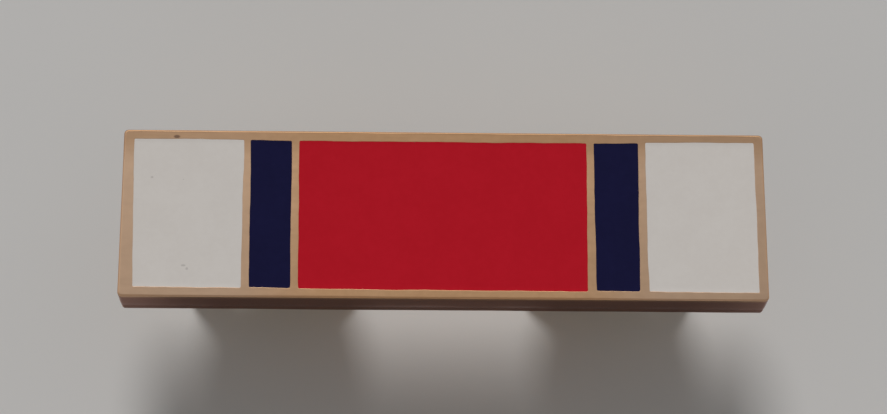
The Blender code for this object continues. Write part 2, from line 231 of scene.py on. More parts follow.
def enamel(name, colour, shade, specks=(), pinholes=0.0, depth=0.35):
    """Stoned, polished vitreous enamel: faint cloudiness, tiny pinholes, orange peel."""
    s = Shader(name)
    mm = s.millimetres()
    cloud = s.grain(mm, 0.55, 5.0, 0.6)
    fine = s.grain(mm, 3.1, 3.0, 0.6)
    tone = s.ramp(s.sums(s.sums(cloud, 0.6, "MULTIPLY"), s.sums(fine, 0.4, "MULTIPLY")), 0.33, 0.67)
    paint = s.mix(tone, shade, colour)
    rough = s.ramp(fine, 0.3, 0.7, 0.10, 0.16)
    height = s.sums(s.grain(mm, 1.1, 2.0), s.sums(fine, 0.25, "MULTIPLY"))
    cells = s.node("TexVoronoi", {"Vector": mm, "Scale": 0.85, "Randomness": 1.0}, feature="F1")
    near = s.ramp(cells.outputs["Distance"], 0.012, 0.034, 1.0, 0.0)
    pick = s.node("SeparateColor", {0: cells.outputs["Color"]}).outputs[0]
    hole = s.sums(near, s.ramp(pick, 0.55, 0.95), "MULTIPLY")
    paint = s.mix(s.sums(hole, pinholes, "MULTIPLY"), paint, tuple(c * 0.35 for c in shade))
    height = s.sums(height, s.sums(hole, 0.8, "MULTIPLY"), "SUBTRACT")
    for centre, radius, dark, stretch in specks:
        mask = s.spot(mm, centre, radius, stretch)
        paint = s.mix(s.sums(mask, depth, "MULTIPLY"), paint, dark)
    normal = s.bump(height, 0.20, 0.0020)
    return s.principled(
        Base_Color=paint, Metallic=0.0, Roughness=rough, IOR=1.36, Normal=normal
    )


def solder_metal():
    s = Shader("flowed_solder")
    mm = s.millimetres()
    ripple = s.grain(mm, 2.6, 4.0, 0.6, 0.8)
    colour = s.mix(s.ramp(ripple, 0.35, 0.65), (0.40, 0.37, 0.32), (0.66, 0.64, 0.60))
    stain = s.ramp(s.grain(mm, 1.1, 2.0), 0.52, 0.70)
    colour = s.mix(s.sums(stain, 0.45, "MULTIPLY"), colour, (0.42, 0.30, 0.16))
    rough = s.ramp(ripple, 0.3, 0.7, 0.30, 0.50)
    return s.principled(
        Base_Color=colour, Metallic=1.0, Roughness=rough, Normal=s.bump(ripple, 0.5, 0.02)
    )


def pressed_brass():
    """Bright brass sheet, pressed and barrelled: ring-shaped draw marks round its own axis."""
    s = Shader("pressed_brass")
    mm = s.millimetres()
    edge = s.node("Attribute", attribute_name="edge").outputs["Fac"]
    flat = s.stretch(mm, (1.0, 1.0, 0.0))
    radius = s.node("VectorMath", {0: flat}, operation="LENGTH").outputs[1]
    ring = s.node("TexNoise", {"W": s.sums(radius, 11.0, "MULTIPLY"), "Scale": 1.0, "Detail": 3.0}, noise_dimensions="1D")
    cloud = s.grain(mm, 0.8, 4.0, 0.6)
    colour = s.mix(s.ramp(cloud, 0.35, 0.65), (0.71, 0.52, 0.26), (0.85, 0.67, 0.37))
    colour = s.mix(s.sums(edge, 0.5, "MULTIPLY"), colour, (0.90, 0.74, 0.45))
    nicks = s.ramp(s.grain(s.stretch(mm, (1.0, 3.2, 1.0)), 3.4, 3.0, 0.7), 0.62, 0.72)
    rough = s.sums(s.ramp(cloud, 0.3, 0.7, 0.20, 0.34), s.sums(nicks, 0.12, "MULTIPLY"))
    height = s.sums(ring.outputs["Fac"], s.sums(nicks, 0.6, "MULTIPLY"), "SUBTRACT")
    return s.principled(
        Base_Color=colour, Metallic=1.0, Roughness=rough, Normal=s.bump(height, 0.35, 0.006)
    )


def spring_strip():
    """Rolled spring strip: brushed along its own length, bright edges."""
    s = Shader("spring_strip")
    strip = s.node("Attribute", attribute_name="strip").outputs["Vector"]
    edge = s.node("Attribute", attribute_name="edge").outputs["Fac"]
    lines = s.grain(s.stretch(strip, (1.2, 17.0, 5.0)), 1.0, 4.0, 0.65)
    cloud = s.grain(strip, 0.7, 4.0, 0.6)
    colour = s.mix(s.ramp(cloud, 0.35, 0.65), (0.58, 0.40, 0.19), (0.78, 0.58, 0.31))
    colour = s.mix(s.sums(s.ramp(lines, 0.5, 0.75), 0.30, "MULTIPLY"), colour, (0.86, 0.68, 0.40))
    colour = s.mix(s.sums(edge, 0.5, "MULTIPLY"), colour, (0.88, 0.70, 0.42))
    rough = s.ramp(lines, 0.3, 0.7, 0.22, 0.40)
    return s.principled(
        Base_Color=colour, Metallic=1.0, Roughness=rough, Normal=s.bump(lines, 0.4, 0.0045)
    )


WHITE_SPECKS = (
    ((-14.00, -3.02, 2.4), 0.16, (0.30, 0.28, 0.27), (1.0, 2.0, 0.2)),
    ((-13.80, -3.20, 2.4), 0.10, (0.34, 0.31, 0.30), (1.0, 1.0, 0.2)),
    ((-15.85, 2.00, 2.4), 0.10, (0.36, 0.32, 0.30), (1.0, 1.3, 0.2)),
)
BAR_SPECKS = (
    # a dark inclusion beside the left white cell
    ((-14.58, 4.36, 2.4), 0.24, (0.20, 0.125, 0.085), (1.0, 1.7, 0.3)),
)
GILT_BAR = gilt(
    "gilt_bar", (0.800, 0.490, 0.274), (0.742, 0.440, 0.238), 0.355, 0.385, (0.5, 6.5, 6.5), BAR_SPECKS,
    (0.738, 0.530, 0.385), 0.70,
)
GILT_POST = gilt("gilt_post", (0.92, 0.70, 0.40), (0.80, 0.58, 0.30), 0.14, 0.26, (6.0, 6.0, 1.0))
WHITE = enamel("enamel_white", (0.81, 0.770, 0.735), (0.785, 0.742, 0.706), WHITE_SPECKS, 0.5)
NAVY = enamel("enamel_navy", (0.0066, 0.0064, 0.050), (0.0056, 0.0054, 0.044), (), 0.25)
RED = enamel("enamel_red", (0.60, 0.0064, 0.0210), (0.570, 0.0054, 0.0185), (), 0.35)
SOLDER = solder_metal()
BRASS = pressed_brass()
SPRING = spring_strip()


# ------------------------------------------------------------------ mesh helpers
def corner_normals(mesh, broad, sharp):
    """Corner normals that follow the broad faces, so that only the small roundings bend them."""
    limit = math.cos(math.radians(sharp))
    ways = [tuple(p.normal) for p in mesh.polygons]
    around = [[] for _ in mesh.vertices]
    spots = [tuple(v.co) for v in mesh.vertices]
    for p in mesh.polygons:
        ring = list(p.vertices)
        for k, v in enumerate(ring):
            a, b = spots[ring[k - 1]], spots[ring[(k + 1) % len(ring)]]
            here = spots[v]
            ux, uy, uz = a[0] - here[0], a[1] - here[1], a[2] - here[2]
            wx, wy, wz = b[0] - here[0], b[1] - here[1], b[2] - here[2]
            size = math.sqrt((ux * ux + uy * uy + uz * uz) * (wx * wx + wy * wy + wz * wz))
            turn = math.acos(max(-1.0, min(1.0, (ux * wx + uy * wy + uz * wz) / max(size, 1e-20))))
            around[v].append((p.index, turn * (400.0 if broad[p.index] else 1.0)))
    result = []
    for p in mesh.polygons:
        nx, ny, nz = ways[p.index]
        for v in p.vertices:
            sx = sy = sz = 0.0
            for other, weight in around[v]:
                ox, oy, oz = ways[other]
                if nx * ox + ny * oy + nz * oz > limit:
                    sx, sy, sz = sx + ox * weight, sy + oy * weight, sz + oz * weight
            size = math.sqrt(sx * sx + sy * sy + sz * sz)
            result.append((sx / size, sy / size, sz / size) if size > 1e-9 else (nx, ny, nz))
    return result


def build(name, verts, faces, material, location=(0, 0, 0), edge=None, strip=None, side=None,
          sharp=38.0, broad=None):
    """A closed smooth-shaded object from points in mm; broad marks the large flat faces."""
    mesh = bpy.data.meshes.new(name)
    mesh.from_pydata([tuple(c * MM for c in v) for v in verts], [], faces)
    if broad is not None:
        mesh.attributes.new("broad", "INT", "FACE").data.foreach_set("value", np.array(broad, np.int32))
    if edge is not None:
        mesh.attributes.new("edge", "FLOAT", "POINT").data.foreach_set(
            "value", np.array(edge, np.float32)
        )
    if side is not None:
        mesh.attributes.new("side", "FLOAT", "POINT").data.foreach_set(
            "value", np.array(side, np.float32)
        )
    if strip is not None:
        mesh.attributes.new("strip", "FLOAT_VECTOR", "POINT").data.foreach_set(
            "vector", np.array(strip, np.float32).ravel()
        )
    bm = bmesh.new()
    bm.from_mesh(mesh)
    bmesh.ops.remove_doubles(bm, verts=bm.verts[:], dist=2e-7)
    bmesh.ops.recalc_face_normals(bm, faces=bm.faces[:])
    bm.to_mesh(mesh)
    bm.free()
    mesh.materials.append(material)
    mesh.shade_smooth()
    marks = np.zeros(len(mesh.polygons), np.int32)
    if broad is not None:
        mesh.attributes["broad"].data.foreach_get("value", marks)
    ways = corner_normals(mesh, marks.tolist(), sharp)
    mesh.set_sharp_from_angle(angle=math.radians(sharp))
    mesh.normals_split_custom_set(ways)
    piece = bpy.data.objects.new(name, mesh)
    piece.location = [c * MM for c in location]
    bpy.context.scene.collection.objects.link(piece)
    return piece


def outward(loop):
    """Unit outward normals, with their miter stretch, of a counter-clockwise loop."""
    n = len(loop)
    result = []
    for i in range(n):
        (ax, ay), (bx, by), (cx, cy) = loop[i - 1], loop[i], loop[(i + 1) % n]
        l0, l1 = math.hypot(bx - ax, by - ay), math.hypot(cx - bx, cy - by)
        n0 = ((by - ay) / l0, -(bx - ax) / l0)
        n1 = ((cy - by) / l1, -(cx - bx) / l1)
        sx, sy = n0[0] + n1[0], n0[1] + n1[1]
        length = math.hypot(sx, sy)
        half = max(length / 2, 0.6)
        result.append((sx / length / half, sy / length / half))
    return result


def area(loop):
    return sum(
        loop[i - 1][0] * loop[i][1] - loop[i][0] * loop[i - 1][1] for i in range(len(loop))
    ) / 2


def inside(point, polygon):
    x, y = point
    hit = False
    for i in range(len(polygon)):
        (x0, y0), (x1, y1) = polygon[i - 1], polygon[i]
        if (y0 > y) != (y1 > y) and x < (x1 - x0) * (y - y0) / (y1 - y0) + x0:
            hit = not hit
    return hit


def circle(radius, steps, centre=(0.0, 0.0)):
    return [
        (
            centre[0] + radius * math.cos(2 * math.pi * i / steps),
            centre[1] + radius * math.sin(2 * math.pi * i / steps),
        )
        for i in range(steps)
    ]


def fill(outer, holes=(), grid=()):
    """Triangles over a loop less its holes, over the loops' own points and the grid's."""
    points, edges = [], []
    for loop in (outer, *holes):
        base = len(points)
        points += [Vector(p) for p in loop]
        edges += [(base + i, base + (i + 1) % len(loop)) for i in range(len(loop))]
    points += [Vector(p) for p in grid]
    flat, _, triangles, *_ = delaunay_2d_cdt(points, edges, [], 1, 1e-7, False)
    if len(flat) != len(points):
        raise ValueError("the loops cross or touch")
    keep = []
    for tri in triangles:
        c = [sum(flat[v][k] for v in tri) / 3 for k in (0, 1)]
        if inside(c, outer) and not any(inside(c, hole) for hole in holes):
            keep.append(list(tri))
    return keep


class Solid:
    """Collects points, faces and the edge-wear value of each point."""

    def __init__(self):
        self.verts, self.faces, self.edge, self.broad = [], [], [], []

    def add(self, points, wear=0.0):
        base = len(self.verts)
        self.verts += points
        self.edge += [wear] * len(points)
        return list(range(base, base + len(points)))

    def band(self, a, b):
        n = len(a)
        for i in range(n):
            j = (i + 1) % n
            self.faces.append([a[i], a[j], b[j], b[i]])
            self.broad.append(0)

    def patch(self, triangles, index):
        self.faces += [[index[v] for v in tri] for tri in triangles]
        self.broad += [1] * len(triangles)


def wobble(x, y, seed, pitch, size):
    return noise.noise(Vector((x / pitch, y / pitch, seed * 7.31))) * size


# ------------------------------------------------------------------ bar and enamel
def cell_loop(name, grow, radius, waver=1.0):
    """Counter-clockwise outline of a cell, moved out by grow, always with the same count."""
    xl, lean_l, xr, lean_r, tl, tr, bl, br = CELLS[name]
    corner = {
        "tr": (xr + lean_r * tr + grow, tr + grow),
        "tl": (xl + lean_l * tl - grow, tl + grow),
        "bl": (xl + lean_l * bl - grow, bl - grow),
        "br": (xr + lean_r * br + grow, br - grow),
    }
    order = ["br", "tr", "tl", "bl"]
    across = max(8, round((xr - xl) / 0.22))
    up = 36
    loop = []
    for i, key in enumerate(order):
        here = Vector(corner[key])
        before = Vector(corner[order[i - 1]])
        after = Vector(corner[order[(i + 1) % 4]])
        into, out = (here - before).normalized(), (after - here).normalized()
        first, last = here - into * radius, here + out * radius
        centre = first + out * radius
        for k in range(7):
            a = math.radians(90.0 * k / 6)
            loop.append(tuple(centre - out * radius * math.cos(a) + into * radius * math.sin(a)))
        stop = after - out * radius
        count = up if i % 2 == 0 else across
        for k in range(1, count):
            loop.append(tuple(last.lerp(stop, k / count)))
    seed = 1 + list(CELLS).index(name)
    ways = outward(loop)
    result = []
    for (x, y), (nx, ny) in zip(loop, ways):
        w = waver * (wobble(x, y, seed, 1.9, 0.036) + wobble(x, y, seed + 9, 0.55, 0.015))
        result.append((x + nx * w, y + ny * w))
    return result


def bar_outline():
    """Counter-clockwise outline of the bar, dense enough to carry a hand-finished edge."""
    hx, hy, r = LENGTH / 2, HEIGHT / 2, CORNER_R
    loop = []
    for sx, sy, start in ((1, 1, 0), (-1, 1, 90), (-1, -1, 180), (1, -1, 270)):
        cx, cy = sx * (hx - r), sy * (hy - r)
        for k in range(9):
            a = math.radians(start + 90.0 * k / 8)
            loop.append((cx + r * math.cos(a), cy + r * math.sin(a)))
        along = 110 if sy * sx > 0 else 32
        span = 2 * ((hx - r) if sx * sy > 0 else (hy - r))
        x, y = loop[-1]
        dx, dy = ((-1, 0), (0, -1), (1, 0), (0, 1))[int(start / 90)]
        for k in range(1, along):
            loop.append((x + dx * span * k / along, y + dy * span * k / along))
    return loop


def make_bar():
    s = Solid()
    outline = bar_outline()
    ways = outward(outline)

    def ring(inset, z, wear=0.0, waver=0.0, seed=0.0):
        points = []
        for (x, y), (nx, ny) in zip(outline, ways):
            off = inset * (1.0 + waver * wobble(x, y, seed, 2.4, 1.0))
            off += 0.5 * abs(wobble(x, y, seed + 3, 5.0, 0.012))
            points.append((x - nx * off, y - ny * off, z))
        return s.add(points, wear)

    # face side: a soft rolled edge, a little uneven as hand polishing leaves it
    bevel, steps = 0.105, 5
    rows = []
    for k in range(steps + 1):
        a = math.radians(90.0 * k / steps)
        rows.append(
            ring(bevel * (1 - math.sin(a)), THICK - 0.095 * (1 - math.cos(a)),
                 math.sin(2 * a) ** 0.5 if 0 < k < steps else 0.0, 0.30, 1.0)
        )
    # trimmed side wall: burnished above, slightly torn and drawn in below
    for z, inset in ((1.95, 0.003), (1.60, 0.004), (1.20, 0.006), (0.86, 0.010), (0.74, 0.022),
                     (0.60, 0.030), (0.35, 0.036), (0.16, 0.040)):
        rows.append(ring(inset, z, 0.0, 0.8 if z < 0.8 else 0.2, 5.0))
    for k in range(1, 5):
        a = math.radians(90.0 * k / 4)
        rows.append(
            ring(0.040 + 0.09 * (1 - math.cos(a)), 0.09 * (1 - math.sin(a)), 0.35, 0.25, 2.0)
        )
    for a, b in zip(rows, rows[1:]):
        s.band(a, b)

    # recesses, with a tight soft lip
    lip = 0.014
    tops = []
    for name in CELLS:
        rims = []
        for k in range(4):
            a = math.radians(90.0 * k / 3)
            grow = lip * (1 - math.sin(a))
            loop = cell_loop(name, grow, CELL_R + grow)
            z = THICK - lip * (1 - math.cos(a))
            rims.append(s.add([(x, y, z) for x, y in loop], 0.6 if 0 < k < 3 else 0.0))
        wall = cell_loop(name, 0.0, CELL_R)
        floor = s.add([(x, y, THICK - CELL_DEPTH) for x, y in wall])
        rims.append(floor)
        for a, b in zip(rims, rims[1:]):
            s.band(a, b)
        s.patch(fill(wall), floor)
        tops.append(rims[0])
    top_outer = [s.verts[v][:2] for v in rows[0]]
    triangles = fill(top_outer, [[s.verts[v][:2] for v in t] for t in tops])
    s.patch(triangles, rows[0] + [v for t in tops for v in t])

    # back, with the two sinkings that locate the pads
    mouths = []
    for side in (-1, 1):
        centre = (side * POST_X, POST_Y)
        rims = []
        for r, z in ((SINK_R + 0.06, 0.0), (SINK_R + 0.018, 0.018), (SINK_R, 0.06),
                     (SINK_R, SINK_DEPTH - 0.04), (SINK_R - 0.04, SINK_DEPTH)):
            rims.append(s.add([(x, y, z) for x, y in circle(r, 72, centre)], 0.4 if z < 0.05 else 0.0))
        for a, b in zip(rims, rims[1:]):
            s.band(a, b)
        s.patch(fill([s.verts[v][:2] for v in rims[-1]]), rims[-1])
        mouths.append(rims[0])
    low_outer = [s.verts[v][:2] for v in rows[-1]]
    triangles = fill(low_outer, [[s.verts[v][:2] for v in m] for m in mouths])
    s.patch(triangles, rows[-1] + [v for m in mouths for v in m])
    # the trimmed wall has its own colour and finish, and carries the painted dark reflection seen at a slant
    side = []
    for x, y, z in s.verts:
        out = abs(x) > LENGTH / 2 - 0.075 or abs(y) > HEIGHT / 2 - 0.075
        side.append(min(1.0, max(0.0, (THICK - 0.05 - z) / 0.10)) if out else 0.0)
    return build("bar_shell", s.verts, s.faces, GILT_BAR, edge=s.edge, side=side,
                 broad=s.broad)


def make_enamel(name, material):
    """One fill: straight sides down in its recess, a faint meniscus up to the metal."""
    s = Solid()
    seed = 20 + list(CELLS).index(name)
    rows = []
    low = THICK - CELL_DEPTH + 0.004
    for grow, z, radius in ((-0.004, low, CELL_R), (-0.004, FLUSH - 0.045, CELL_R),
                            (0.002, FLUSH - 0.014, CELL_R), (0.004, FLUSH - 0.002, CELL_R),
                            (-0.010, FLUSH + 0.0015, CELL_R), (-0.045, FLUSH - 0.002, 0.082),
                            (-0.11, FLUSH - 0.007, 0.080), (-0.22, FLUSH - 0.010, 0.080),
                            (-0.36, FLUSH - 0.011, 0.080)):
        loop = cell_loop(name, grow, radius, 1.0 if grow > -0.05 else 0.5)
        rows.append(s.add([(x, y, z) for x, y in loop]))
    for a, b in zip(rows, rows[1:]):
        s.band(a, b)
    s.patch(fill([s.verts[v][:2] for v in rows[0]]), rows[0])
    rim = [s.verts[v][:2] for v in rows[-1]]
    shrunk = cell_loop(name, -0.60, 0.08, 0.5)
    xs, ys = [p[0] for p in shrunk], [p[1] for p in shrunk]
    grid = []
    step = 0.42
    nx, ny = int((max(xs) - min(xs)) / step) + 1, int((max(ys) - min(ys)) / step) + 1
    for i in range(nx + 1):
        for j in range(ny + 1):
            p = (
                min(xs) + (max(xs) - min(xs)) * i / nx + 0.03 * ((j % 2) - 0.5),
                min(ys) + (max(ys) - min(ys)) * j / ny,
            )
            if inside(p, shrunk):
                grid.append(p)
    heights = [
        (x, y, FLUSH - 0.011 + wobble(x, y, seed, 2.2, 0.004) + wobble(x, y, seed + 1, 6.0, 0.004))
        for x, y in grid
    ]
    inner = s.add(heights)
    s.patch(fill(rim, (), grid), rows[-1] + inner)
    return build("enamel_fill_" + name, s.verts, s.faces, material, sharp=60.0,
                 broad=s.broad)


# ------------------------------------------------------------------ turned pieces
def turned(s, profile, steps, wears=None, shake=None):
    """A closed turned solid from a closed (radius, z) profile."""
    rows = []
    for k, (r, z) in enumerate(profile):
        wear = wears[k] if wears else 0.0
        if r < 1e-6:
            rows.append(s.add([(0.0, 0.0, z)], wear) * steps)
            continue
        points = []
        for x, y in circle(1.0, steps):
            radius, height = shake(x, y, r, z) if shake else (r, z)
            points.append((x * radius, y * radius, height))
        rows.append(s.add(points, wear))
    for a, b in zip(rows, rows[1:] + rows[:1]):
        for i in range(steps):
            j = (i + 1) % steps
            quad = []
            for v in (a[i], a[j], b[j], b[i]):
                if v not in quad:
                    quad.append(v)
            if len(quad) > 2:
                s.faces.append(quad)
                s.broad.append(0)


def round_corners(profile, radii, steps=4):
    """Replaces each corner of a closed profile by a small arc; radius 0 keeps it sharp."""
    n = len(profile)
    result, wears = [], []
    for i, (p, radius) in enumerate(zip(profile, radii)):
        a, b, c = Vector(profile[i - 1]), Vector(p), Vector(profile[(i + 1) % n])
        if radius <= 0:
            result.append(tuple(b))
            wears.append(0.0)
            continue
        u, v = (a - b), (c - b)
        room = 0.45 * min(u.length, v.length)
        u.normalize()
        v.normalize()
        half = math.acos(max(-1.0, min(1.0, u.dot(v)))) / 2
        cut = min(radius / max(math.tan(half), 1e-3), room)
        start, stop = b + u * cut, b + v * cut
        for k in range(steps + 1):
            f = k / steps
            q = start * (1 - f) ** 2 + b * 2 * f * (1 - f) + stop * f ** 2
            result.append(tuple(q))
            wears.append(0.7 if 0 < k < steps else 0.3)
    return result, wears


def make_post(side, x):
    tip, notch = -7.0, -5.45
    profile = [
        (0.0, PAD_TOP), (PAD_R, PAD_TOP), (PAD_R, PAD_LOW), (0.98, PAD_LOW - 0.005),
        (0.74, PAD_LOW - 0.02), (0.60, PAD_LOW - 0.09), (0.55, PAD_LOW - 0.24),
        (0.55, notch + 0.34), (0.42, notch + 0.20), (0.42, notch - 0.20), (0.55, notch - 0.34),
        (0.55, tip + 0.95), (0.44, tip + 0.62), (0.31, tip + 0.32), (0.14, tip + 0.06), (0.0, tip),
    ]
    radii = [0, 0.03, 0.09, 0.06, 0.08, 0.10, 0.12, 0.06, 0.05, 0.05, 0.06, 0.25, 0.30, 0.25, 0.10, 0]
    profile, wears = round_corners(profile, radii, 4)
    s = Solid()
    turned(s, profile, 64, wears)
    piece = build("pin_" + side, s.verts, s.faces, GILT_POST,
                  (x, POST_Y, 0.0), edge=s.edge, sharp=50.0)
    return piece


def make_solder(side, x, seed):
    """Solder run in between the pad and its sinking, climbing the pad a little."""
    inner, outer, floor = PAD_R + 0.004, SINK_R - 0.006, 0.285
    profile = [(inner, floor), (inner, PAD_LOW + 0.13)]
    count = 9
    for i in range(count + 1):
        f = i / count
        profile.append(
            (inner + 0.02 + (outer - inner - 0.02) * f,
             PAD_LOW + 0.10 + (floor - 0.10 - PAD_LOW - 0.10) * (1 - (1 - f) ** 2.1))
        )
    profile.append((outer, floor))

    def shake(cx, cy, r, z):
        if z > floor - 0.001 or r <= inner + 0.001:
            return r, z
        share = (r - inner) / (outer - inner)
        wave = wobble(cx * 1.6, cy * 1.6, seed, 1.0, 0.10) + wobble(cx * 5, cy * 5, seed, 1.0, 0.03)
        return r, min(z + wave * (1 - share) ** 0.5 * 0.9 + 0.01, floor - 0.002)

    s = Solid()
    turned(s, profile, 96, shake=shake)
    return build("solder_ring_" + side, s.verts, s.faces, SOLDER,
                 (x, POST_Y, 0.0), sharp=60.0)


def make_disc(side, x):
    """Dished clutch disc: flared hub, a coined ring, a curled rim."""
    # (radius, depth below the cloth face), once round the section
    profile = [
        (1.15, 0.0), (2.95, 0.0), (3.10, -0.05), (3.38, -0.12), (3.66, -0.05), (3.80, 0.0),
        (4.18, 0.0), (4.50, 0.12), (4.66, 0.42), (4.68, 0.78), (4.62, 0.95), (4.40, 0.95),
        (4.34, 0.78), (4.34, 0.58), (4.24, 0.40), (4.12, 0.35), (3.80, 0.35), (3.62, 0.31),
        (3.38, 0.25), (3.14, 0.31), (2.96, 0.35), (1.10, 0.35), (1.02, 0.42), (1.02, 0.66),
        (1.12, 0.73), (1.46, 0.75), (1.50, 0.84), (1.30, 0.99), (0.92, 0.98), (0.68, 0.76),
        (0.68, 0.34), (0.82, 0.12),
    ]
    radii = [0.16, 0.08, 0.08, 0.14, 0.08, 0.08, 0.2, 0.22, 0.16, 0.1, 0.09, 0.09, 0.1, 0.14, 0.1,
             0.1, 0.08, 0.08, 0.12, 0.08, 0.08, 0.05, 0.06, 0.05, 0.05, 0.03, 0.07, 0.06, 0.10,
             0.12, 0.14, 0.12]
    profile, wears = round_corners([(r, -d) for r, d in profile], radii, 3)
    wears = [w if (r > 4.3 or r < 1.6) else 0.0 for w, (r, _) in zip(wears, profile)]
    s = Solid()
    turned(s, profile, 112, wears)
    return build("disc_" + side, s.verts, s.faces, BRASS,
                 (x, POST_Y, -CLOTH_GAP), edge=s.edge, sharp=55.0)


# ------------------------------------------------------------------ strip springs
class Path:
    """The mid line of a bent strip: exact lines and arcs."""

    def __init__(self, start, heading, moves):
        self.parts = []
        s, (u, d), h = 0.0, start, math.radians(heading)
        for move in moves:
            if move[0] == "line":
                self.parts.append((s, s + move[1], u, d, h, 0.0))
                u, d, s = u + move[1] * math.cos(h), d + move[1] * math.sin(h), s + move[1]
            else:
                side = math.copysign(1.0, move[2])
                length = move[1] * math.radians(abs(move[2]))
                self.parts.append((s, s + length, u, d, h, side / move[1]))
                cu, cd = u - side * move[1] * math.sin(h), d + side * move[1] * math.cos(h)
                h += math.radians(move[2])
                u, d, s = cu + side * move[1] * math.sin(h), cd - side * move[1] * math.cos(h), s + length
        self.length = s

    def at(self, s):
        for s0, s1, u, d, h, curve in self.parts:
            if s <= s1:
                break
        t = s - s0
        if curve == 0.0:
            return u + t * math.cos(h), d + t * math.sin(h), h
        turn = t * curve
        return (
            u + (math.sin(h + turn) - math.sin(h)) / curve,
            d - (math.cos(h + turn) - math.cos(h)) / curve,
            h + turn,
        )

    def stations(self, degrees, longest):
        """Lengths at which the blank needs a line across to bend smoothly."""
        found = [0.0]
        for s0, s1, _, _, _, curve in self.parts:
            if curve == 0.0:
                count = max(1, math.ceil((s1 - s0) / longest))
            else:
                count = max(2, math.ceil(math.degrees(abs(curve) * (s1 - s0)) / degrees))
            found += [s0 + (s1 - s0) * k / count for k in range(1, count + 1)]
        return found

    def at_u(self, u, after):
        """The length past `after` where the strip's mid line is at this u."""
        step, s = 0.005, after
        last = self.at(s)[0] - u
        while s < self.length:
            s += step
            now = self.at(s)[0] - u
            if last * now <= 0:
                return s - step * abs(now) / max(abs(now) + abs(last), 1e-9)
            last = now
        raise ValueError("the strip never passes this u")


RIM = 0.07


def ear_taper(start, end):
    """Half widths of a finger wing from its neck to its rounded tip."""
    widths = []
    for k in range(0, 9):
        f = k / 8
        widths.append((start + 1.4 * f, NECK_HALF + (EAR_HALF - NECK_HALF) * (f * f * (3 - 2 * f))))
    corner = 1.15
    for i in range(0, 13):
        a = math.radians(90.0 * i / 12)
        widths.append((end - corner + corner * math.sin(a), EAR_HALF - corner * (1 - math.cos(a))))
    return widths


def slot_hole(low, high, half, steps=14):
    pts = []
    for c, start in ((high - half, -90), (low + half, 90)):
        for i in range(steps + 1):
            t = math.radians(start + 180.0 * i / steps)
            pts.append((c + (half + RIM) * math.cos(t), (half + RIM) * math.sin(t)))
    return pts


def window_hole(near, far, half, radius=0.25, steps=5):
    pts = []
    centre, span = (near + far) / 2, (far - near) / 2 + RIM
    half += RIM
    radius += RIM
    for sx, sy, start in ((1, 1, 0), (-1, 1, 90), (-1, -1, 180), (1, -1, 270)):
        for i in range(steps + 1):
            a = math.radians(start + 90.0 * i / steps)
            pts.append((centre + sx * (span - radius) + radius * math.cos(a),
                        sy * (half - radius) + radius * math.sin(a)))
    return pts


